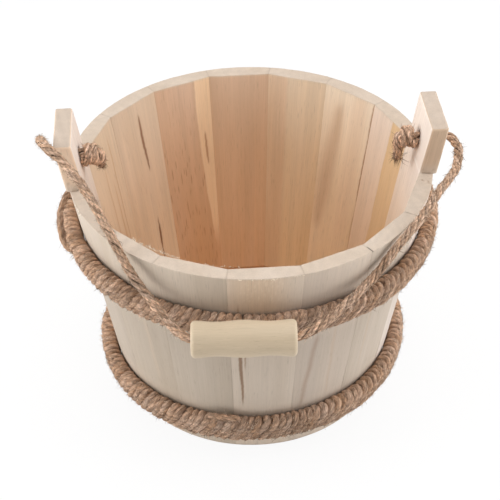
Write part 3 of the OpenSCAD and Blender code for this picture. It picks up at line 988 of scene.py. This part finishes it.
def make_splinters():
    pile = Pile()
    for seed, row in enumerate(SPLINTERS, start=500):
        angle = np.radians(np.linspace(row.first, row.last, 4 * row.number))
        level = np.ones(len(angle))
        x, y = np.cos(angle), np.sin(angle)
        spot = np.column_stack([row.radius * x, row.radius * y, (RIM_Z - SPLINTER_DEPTH) * level])
        facing = np.column_stack([-x, -y, row.upward * level])
        if row.radius == RIM_OUTSIDE:
            facing[:, :2] *= -0.6
        along = np.column_stack([-y, x, 0.4 * row.upward * level])
        kind = Hairs(row.number, (0.3 * row.longest, row.longest), SPLINTER_R, (0.7, 1.8), SPLINTER)
        add_hairs(pile, (spot, facing, along), kind, seed)
    piece = pile.make("rim_splinters", STAVE_WOOD)
    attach(piece, "bucket")


make_splinters()


# Bottom boards
BOARD_NAMES = ["bottom_board_left", "bottom_board_middle", "bottom_board_right"]
BOARD_WIDTH = 2 * BOARD_R / len(BOARD_NAMES)
BOARD_REACH = 0.995 * BOARD_R


def board_pile(number, colour):
    """A board across the bottom, counted from the left, with its ends cut round."""
    low_x = -BOARD_R + number * BOARD_WIDTH + BOARD_GAP / 2
    high_x = low_x + BOARD_WIDTH - BOARD_GAP
    low = np.array([max(low_x, -BOARD_REACH), BOARD_LOW])
    high = np.array([min(high_x, BOARD_REACH), BOARD_HIGH])
    xs = edged(low[0], high[0], ARRIS, step=0.0014)
    ys = edged(-1, 1, edge=0.02, step=0.025)
    zs = edged(BOARD_LOW, BOARD_HIGH, ARRIS, step=0.002)
    points, quads = box_shell(xs, ys, zs)
    points[:, [0, 2]] = soften(points[:, [0, 2]], low, high, ARRIS)
    points[:, 1] *= np.sqrt(BOARD_R**2 - points[:, 0] ** 2)
    grain = points[:, [0, 2, 1]] + np.random.default_rng(700 + number).uniform(0, 3, 3)
    tone = 1 + 0.05 * waver(grain * [1, 1, 0.1], 0.012, seed=720 + number)
    return Pile(points, [quads], colour * tone[:, None], grain)


def make_boards():
    colours = [INSIDES["stave_04"], INSIDES["stave_05"], INSIDES["stave_06"]]
    for number, (name, colour) in enumerate(zip(BOARD_NAMES, colours)):
        piece = board_pile(number, colour).make(name + "_wood", STAVE_WOOD)
        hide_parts(name)
        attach(piece, "bucket")


make_boards()


# Hoops, with half of their section's straight side, and loose ends of twine, with places square to the wall
# and along it at some directions
Hoop = namedtuple("Hoop", "z straight turns tilt seed")
LooseEnd = namedtuple("LooseEnd", "outs ups degrees radius seed")
UPPER_HOOP = Hoop(0.142, 0.0036, 152, 0.0, 800)
UPPER_END = LooseEnd(
    outs=(0.0060, 0.0105, 0.0140, 0.0145, 0.0130, 0.0065),
    ups=(0.0095, 0.0080, 0.0030, -0.0020, -0.0070, -0.0080),
    degrees=(170, 176, 181, 186, 190, 194), radius=0.0030, seed=850,
)
LOWER_HOOP = Hoop(0.0305, 0.0046, 132, 0.0026, 900)
LOWER_END = LooseEnd(
    outs=(0.0050, 0.0058, 0.0062, 0.0062, 0.0056, 0.0050),
    ups=(0.0050, 0.0098, 0.0108, 0.0108, 0.0098, 0.0050),
    degrees=(248, 251, 254, 257, 260, 263), radius=0.0026, seed=950,
)
HOOP_OUT = 0.00615
HOOP_START = math.radians(255)
TWINE_R = 0.0031
TURN_R = 0.0029
TWINE_LEAN = 0.0075
RINGS_PER_TURN = 32
CORE_INSET = 0.0008
CORE_STEPS = 180
CORE_SIDES = 24
TWINE = Yarn(3, 0.0125, 0.15, 16)
LOOSE_TWINE = Yarn(3, 0.020, 0.18, 14)
HOOP_HAIRS = [
    Hairs(2200, (0.002, 0.005), 0.00007, (0.1, 0.5), JUTE_PALE),
    Hairs(8500, (0.0015, 0.0045), 0.00015, (0.02, 0.25), JUTE_PALE),
    Hairs(8500, (0.0015, 0.0045), 0.00015, (0.02, 0.25), 0.4 * JUTE_MID),
]
LOOSE_END_HAIRS = [
    Hairs(150, (0.002, 0.006), 0.00008, (0.15, 0.9), JUTE_PALE),
    Hairs(260, (0.002, 0.005), 0.00010, (0.02, 0.3), 0.6 * JUTE_MID),
]


def hoop_spot(hoop, out, up, angle):
    """Point of a hoop's section: out is square to the wall and up runs along it."""
    out, up, angle = np.broadcast_arrays(out, up, angle)
    level = hoop.z + hoop.tilt * np.cos(angle)
    radius = outer_r(level) + out * math.cos(LEAN) + up * math.sin(LEAN)
    z = level - out * math.sin(LEAN) + up * math.cos(LEAN)
    return np.column_stack([radius * np.cos(angle), radius * np.sin(angle), z])


def racetrack(share, straight, radius):
    """Place on a section with straight sides and half-round ends, from its outer side upward."""
    share, straight, radius = np.broadcast_arrays(share, straight, radius)
    half_round = math.pi * radius
    s = (share % 1) * (4 * straight + 2 * half_round)
    top = straight
    back = top + half_round
    bottom = back + 2 * straight
    front = bottom + half_round
    spans = [s < top, s < back, s < bottom, s < front]
    bend_up = (s - top) / radius
    bend_down = math.pi + (s - bottom) / radius
    out = np.select(spans, [radius, radius * np.cos(bend_up), -radius, radius * np.cos(bend_down)], radius)
    rise = straight + radius * np.sin(bend_up)
    fall = radius * np.sin(bend_down) - straight
    up = np.select(spans, [s, rise, straight - (s - back), fall], s - front - straight)
    return out, up


def hoop_line(hoop):
    """Middle line, directions and radii of twine wound in touching, slightly uneven, leaning turns."""
    draw = np.random.default_rng(hoop.seed)
    turn = np.arange(hoop.turns * RINGS_PER_TURN + 1) / RINGS_PER_TURN

    def drift(spread):
        return np.interp(turn, np.arange(hoop.turns + 2), draw.normal(0, spread, hoop.turns + 2))

    loose = np.clip(drift(0.00016), -0.0003, 0.0003)
    out, up = racetrack(turn, hoop.straight + drift(0.00015), TURN_R + loose)
    lean = (TWINE_LEAN + drift(0.0010)) * up / (2 * (hoop.straight + TURN_R)) / outer_r(hoop.z)
    angle = HOOP_START + FULL_TURN / hoop.turns * (turn + drift(0.10)) + lean
    thick = TWINE_R * (1 + np.clip(drift(0.04), -0.08, 0.05))
    return hoop_spot(hoop, HOOP_OUT + out, up, angle), angle, thick


def add_winding(pile, fuzz, hoop):
    """The twine of a hoop, with painted light at its far left and right, and hairs where it faces outward.
    """
    line, angle, thick = hoop_line(hoop)
    skin = strand(pile, line, thick, TWINE, JUTE_MID, hoop.seed + 1)
    # Painted light: the twine is tinted paler where the hoop turns to the left and right
    pile.shade(np.repeat(0.95 + 0.25 * np.cos(angle) ** 6, TWINE.sides))
    outward = np.column_stack([np.cos(angle), np.sin(angle), 0.3 + 0 * angle]).repeat(TWINE.sides, axis=0)
    facing = (skin[1] * outward).sum(1) > 0.15
    add_fuzz(fuzz, [part[facing] for part in skin], HOOP_HAIRS, hoop.seed + 2)


def add_core(pile, hoop):
    """A ring tinted dark as painted shade, which closes the chinks between the turns."""
    angle = round_angles(CORE_STEPS)
    out, up = racetrack(np.arange(CORE_SIDES) / CORE_SIDES, hoop.straight, TURN_R - CORE_INSET)
    core = np.stack([hoop_spot(hoop, HOOP_OUT + o, u, angle) for o, u in zip(out, up)], 1).reshape(-1, 3)
    pile.add(core, [ring_quads(CORE_STEPS, CORE_SIDES)[:, [0, 3, 2, 1]]], 0.6 * JUTE_DARK, core)


def add_loose_end(pile, fuzz, hoop, end):
    """A loose end of twine that lies over the turns and dives between them at both ends."""
    share = np.linspace(0, 1, 40)
    at = np.linspace(0, 1, len(end.outs))
    turned = np.radians(np.interp(share, at, end.degrees))
    soft = smooth_path(np.column_stack([at, end.outs, end.ups]), (0.02, 0, 0), (0.02, 0, 0), step=0.02)
    out = np.interp(share, soft[:, 0], soft[:, 1])
    up = np.interp(share, soft[:, 0], soft[:, 2])
    line = spaced(hoop_spot(hoop, out, up, turned), step=0.0008)
    skin = strand(pile, line, end.radius, LOOSE_TWINE, JUTE_MID, end.seed)
    add_fuzz(fuzz, skin, LOOSE_END_HAIRS, end.seed + 1)


def make_hoops():
    for name, hoop, end in (("upper", UPPER_HOOP, UPPER_END), ("lower", LOWER_HOOP, LOWER_END)):
        pile, fuzz = Pile(), Pile()
        add_winding(pile, fuzz, hoop)
        add_core(pile, hoop)
        add_loose_end(pile, fuzz, hoop, end)
        twine = pile.make(name + "_hoop_twine", TWINE_JUTE)
        hairs = fuzz.make(name + "_hoop_hairs", TWINE_JUTE)
        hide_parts(name + "_hoop_core", name + "_hoop_wrap")
        for piece in (twine, hairs):
            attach(piece, "bucket")


make_hoops()


# Grip
GRIP_TINT = srgb(197, 179, 154)
GRIP_SIDES = 96
GRIP_GRAIN = np.array([0.4, 0.7, 0.2])
OUT_OF_ROUND = 0.004


def grip_profile():
    """Places along the grip, over its outside and back through the bore, radii and what is bore."""
    half = GRIP_LEN / 2
    straight = half - GRIP_ROUND
    bend = np.radians(np.arange(90, 0, -10))
    outside = np.concatenate([
        -straight - GRIP_ROUND * np.sin(bend),
        np.linspace(-straight, straight, 70),
        straight + GRIP_ROUND * np.sin(bend[::-1]),
    ])
    past = np.maximum(0, GRIP_ROUND - (half - np.abs(outside)))
    radius = GRIP_R + GRIP_WAVE * np.cos(2 * FULL_TURN * outside / GRIP_LEN)
    radius += np.sqrt(np.maximum(0, GRIP_ROUND**2 - past**2)) - GRIP_ROUND
    mouth = np.linspace(0, 1, 6)
    flare = GRIP_MOUTH_R + (GRIP_BORE_R - GRIP_MOUTH_R) * mouth
    run = np.linspace(1, -1, 12)[1:-1] * GRIP_RUN / 2
    inside = np.concatenate([half - GRIP_MOUTH_DEPTH * mouth, run, -half + GRIP_MOUTH_DEPTH * mouth[::-1]])
    bore = np.concatenate([flare, np.full(len(run), GRIP_BORE_R), flare[::-1]])
    along = np.concatenate([outside, inside])
    return along, np.concatenate([radius, bore]), np.arange(len(along)) > len(outside)


def make_grip():
    along, radius, in_bore = grip_profile()
    angle = round_angles(GRIP_SIDES)
    uneven = 1 + OUT_OF_ROUND * np.sin(angle * 2 + 0.6)[None] * (radius > GRIP_MOUTH_R + 0.002)[:, None]
    ring = radius[:, None] * uneven
    run = np.repeat(along[:, None], GRIP_SIDES, 1)
    local = np.stack([run, ring * np.cos(angle), ring * np.sin(angle)], -1).reshape(-1, 3)
    grain = local[:, [1, 2, 0]] + GRIP_GRAIN
    tone = 1 + 0.025 * waver(grain * [1, 1, 0.1], 0.009, seed=610)
    # Painted shade: the bore is tinted darker than the outside of the grip
    dark = np.repeat(in_bore, GRIP_SIDES)[:, None]
    tint = np.where(dark, 0.8 * GRIP_TINT, GRIP_TINT) * tone[:, None]
    across = np.array([-GRIP_WAY[1], GRIP_WAY[0], 0.0])
    turned = local @ np.stack([GRIP_WAY, across, [0.0, 0.0, 1.0]])
    pile = Pile(turned + GRIP_PLACE, [ring_quads(len(along), GRIP_SIDES)], tint, grain)
    piece = pile.make("turned_grip", GRIP_WOOD)
    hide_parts("grip")
    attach(piece, "grip")


make_grip()


# Floor and light
FLOOR_SIZE = 6.0
FLOOR_DROP = 0.0002
FLOOR_SHADOW = 0.1
HORIZON = 0.4
ZENITH = 1.0
FRONT_SHARE = 0.75
LAMP_AIM = Vector((0, 0, 0.1))
LAMPS = [
    ("overhead", (0.0, -0.14, 1.75), 1.3, 9.0),
    ("right", (1.20, -0.05, 0.36), 0.9, 11.0),
    ("left", (-1.20, -0.05, 0.32), 0.9, 12.5),
]


def floor_white():
    """A pale surface that the camera sees as white, with only a share of the object's shadow."""
    graph = Graph(bpy.data.materials.new("floor_white"))
    inputs = {"Base Color": (0.88, 0.88, 0.88, 1.0), "Roughness": 0.9, "Specular IOR Level": 0.0}
    surface = graph.add("BsdfPrincipled", inputs)["BSDF"]
    white = graph.add("Emission", {"Color": WHITE, "Strength": 1.0})["Emission"]
    share = graph.product(graph.seen(), 1 - FLOOR_SHADOW)
    return graph.finish(graph.add("MixShader", {0: share, 1: surface, 2: white})["Shader"])


def make_floor():
    mesh = bpy.data.meshes.new("floor")
    half = FLOOR_SIZE / 2
    corners = [(-half, -half, 0), (half, -half, 0), (half, half, 0), (-half, half, 0)]
    mesh.from_pydata(corners, [], [(0, 1, 2, 3)])
    mesh.materials.append(floor_white())
    floor = show("floor", mesh)
    floor.location.z = -FLOOR_DROP


def make_world():
    """White light, stronger from above and weaker from the front, full white where it is seen."""
    graph = Graph(bpy.data.worlds.new("studio"))
    ways = graph.add("SeparateXYZ", {"Vector": graph.add("TexCoord")["Generated"]})
    rise = graph.span(ways["Z"], HORIZON, ZENITH, 0.0, 1.0)
    ahead = graph.span(ways["Y"], FRONT_SHARE, 1.0, -1.0, 0.0)
    strength = graph.span(graph.seen(), graph.product(rise, ahead), 1.0, 0.0, 1.0)
    light = graph.add("Background", {"Color": WHITE, "Strength": strength})["Background"]
    graph.add("OutputWorld", {"Surface": light})
    SCENE.world = graph.owner


def make_lamps():
    for name, place, size, power in LAMPS:
        lamp = bpy.data.lights.new(name, "AREA")
        lamp.size = size
        lamp.energy = power
        piece = show(name, lamp)
        piece.location = place
        piece.rotation_euler = (Vector(place) - LAMP_AIM).to_track_quat("Z", "Y").to_euler()


make_floor()
make_world()
make_lamps()
SCENE.view_settings.view_transform = "Standard"
